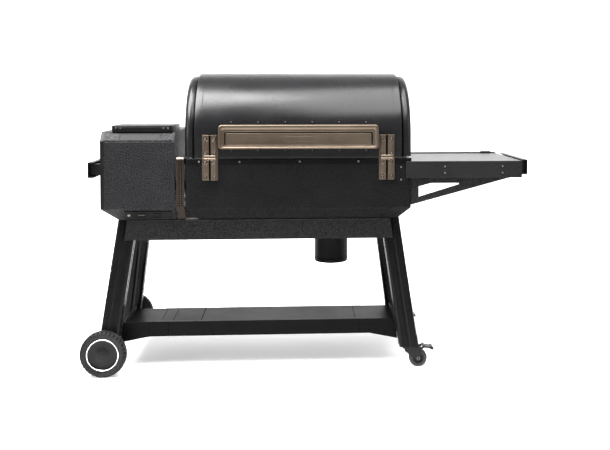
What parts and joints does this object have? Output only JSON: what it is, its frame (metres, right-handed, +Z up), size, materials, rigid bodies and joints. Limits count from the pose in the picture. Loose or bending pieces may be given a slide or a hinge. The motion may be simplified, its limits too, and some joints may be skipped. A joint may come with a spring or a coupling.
{
  "type": "pellet smoker grill",
  "caption": "Pellet smoker grill with a barrel lid, side hopper, side shelf, lower shelf and splayed legs on wheels and casters.",
  "frame": {"origin": "on the floor, under the middle of the outline", "axes": "+X to the side shelf, +Y to the back, +Z up"},
  "size_m": [1.7864, 0.6348, 1.1879],
  "materials": {
    "lid_paint": "fine textured powder coat, semi-gloss",
    "body_paint": "fine textured powder coat, semi-gloss",
    "hopper_paint": "satin charcoal powder coat",
    "trim_paint": "satin black powder coat",
    "shelf_paint": "textured charcoal powder coat",
    "frame_paint": "satin black powder coat",
    "bronze": "metallic bronze coat",
    "brushed_top": "brushed stainless",
    "fastener_steel": "zinc plated",
    "inner_steel": "bare sheet steel",
    "grate_enamel": "porcelain enamel",
    "gasket_fibre": "braided fibre seal",
    "panel_plastic": "moulded, fine grain",
    "button_metal": "turned",
    "display_gloss": "clear gloss window over black",
    "tyre_rubber": "moulded rubber",
    "hub_plastic": "moulded",
    "caster_metal": "black zinc"
  },
  "bodies": {
    "grill": {"body_shell": "body_paint", "body_rim": "body_paint", "body_screws": "fastener_steel", "keepers": "bronze", "hinge_brackets": "body_paint", "lid_hinge_pins": "fastener_steel", "vent_strip": "bronze", "exhaust_duct": "body_paint", "firepot": "inner_steel", "igniter": "inner_steel", "heat_baffle": "inner_steel", "drip_tray": "inner_steel", "hopper_box": "hopper_paint", "hopper_side": "trim_paint", "hopper_bevel": "hopper_paint", "display": "display_gloss", "hopper_bin": "inner_steel", "hopper_hinge": "trim_paint", "control_panel": "panel_plastic", "auger_tube": "inner_steel", "auger_motor": "hopper_paint", "fan_housing": "hopper_paint", "power_inlet": "panel_plastic", "side_shelf_top": "brushed_top", "side_shelf_frame": "shelf_paint", "shelf_gussets": "shelf_paint", "accessory_rails": "trim_paint", "legs": "frame_paint", "frame_aprons": "frame_paint", "lower_shelf": "frame_paint", "shelf_brackets": "frame_paint", "foot_caps": "panel_plastic", "axle": "fastener_steel", "caster_plates": "caster_metal"},
    "lid": {"lid_skin": "lid_paint", "lid_ends": "lid_paint", "lid_liner": "inner_steel", "lid_gasket": "gasket_fibre", "handle_frame": "bronze", "handle_panel": "bronze", "lid_fasteners": "fastener_steel", "lid_catches": "bronze", "lid_hinge_leaves": "body_paint"},
    "hopper_lid_body": {"hopper_lid": "trim_paint"},
    "power_button_body": {"power_button": "button_metal"},
    "auger_body": {"auger": "inner_steel"},
    "fan_body": {"fan_wheel": "inner_steel"},
    "keg_body": {"keg": "frame_paint"},
    "grates": {"main_grates": "grate_enamel"},
    "rack": {"upper_grate": "grate_enamel"},
    "front_wheel": {"front_tyre": "tyre_rubber", "front_hub": "hub_plastic"},
    "rear_wheel": {"rear_tyre": "tyre_rubber", "rear_hub": "hub_plastic"},
    "front_caster": {"front_fork": "caster_metal"},
    "front_caster_roller": {"front_roller": "tyre_rubber"},
    "front_brake": {"front_pedal": "caster_metal"},
    "rear_caster": {"rear_fork": "caster_metal"},
    "rear_caster_roller": {"rear_roller": "tyre_rubber"},
    "rear_brake": {"rear_pedal": "caster_metal"}
  },
  "joints": [
    {"name": "lid_hinge", "type": "hinge", "parent": "grill", "child": "lid", "pos_m": [-0.04177, 0.276, 0.85], "axis": [-1, 0, 0], "range_deg": [0, 78]},
    {"name": "hopper_lid_hinge", "type": "hinge", "parent": "grill", "child": "hopper_lid_body", "pos_m": [-0.65977, -0.003, 0.958], "axis": [-1, 0, 0], "range_deg": [0, 100]},
    {"name": "power_button_press", "type": "slide", "parent": "grill", "child": "power_button_body", "axis": [0, 0.7071, 0.7071], "range_m": [0, 0.002], "stiffness_N_per_m": 400},
    {"name": "auger_spin", "type": "hinge", "parent": "grill", "child": "auger_body", "pos_m": [-0.65977, -0.01, 0.653], "axis": [1, 0, 0], "continuous": true},
    {"name": "fan_spin", "type": "hinge", "parent": "grill", "child": "fan_body", "pos_m": [-0.66777, 0.1, 0.7], "axis": [1, 0, 0], "continuous": true},
    {"name": "keg_drop", "type": "slide", "parent": "grill", "child": "keg_body", "axis": [0, 0, -1], "range_m": [0, 0.19]},
    {"name": "grates_lift", "type": "slide", "parent": "grill", "child": "grates", "axis": [0, 0, 1], "range_m": [0, 0.024]},
    {"name": "rack_lift", "type": "slide", "parent": "grates", "child": "rack", "axis": [0, 0, 1], "range_m": [0, 0.024]},
    {"name": "front_wheel_spin", "type": "hinge", "parent": "grill", "child": "front_wheel", "pos_m": [-0.80373, -0.27537, 0.0895], "axis": [0, 1, 0], "continuous": true},
    {"name": "rear_wheel_spin", "type": "hinge", "parent": "grill", "child": "rear_wheel", "pos_m": [-0.80373, 0.27537, 0.0895], "axis": [0, 1, 0], "continuous": true},
    {"name": "front_caster_swivel", "type": "hinge", "parent": "grill", "child": "front_caster", "pos_m": [0.39981, -0.23895, 0.085], "axis": [0, 0, 1], "continuous": true},
    {"name": "front_roller_spin", "type": "hinge", "parent": "front_caster", "child": "front_caster_roller", "pos_m": [0.43782, -0.23895, 0.036], "axis": [0, 1, 0], "continuous": true},
    {"name": "front_brake_press", "type": "hinge", "parent": "front_caster", "child": "front_brake", "pos_m": [0.44582, -0.23895, 0.0765], "axis": [0, 1, 0], "range_deg": [0, 18]},
    {"name": "rear_caster_swivel", "type": "hinge", "parent": "grill", "child": "rear_caster", "pos_m": [0.39981, 0.23895, 0.085], "axis": [0, 0, 1], "continuous": true},
    {"name": "rear_roller_spin", "type": "hinge", "parent": "rear_caster", "child": "rear_caster_roller", "pos_m": [0.43782, 0.23895, 0.036], "axis": [0, 1, 0], "continuous": true},
    {"name": "rear_brake_press", "type": "hinge", "parent": "rear_caster", "child": "rear_brake", "pos_m": [0.44582, 0.23895, 0.0765], "axis": [0, 1, 0], "range_deg": [0, 18]}
  ]
}
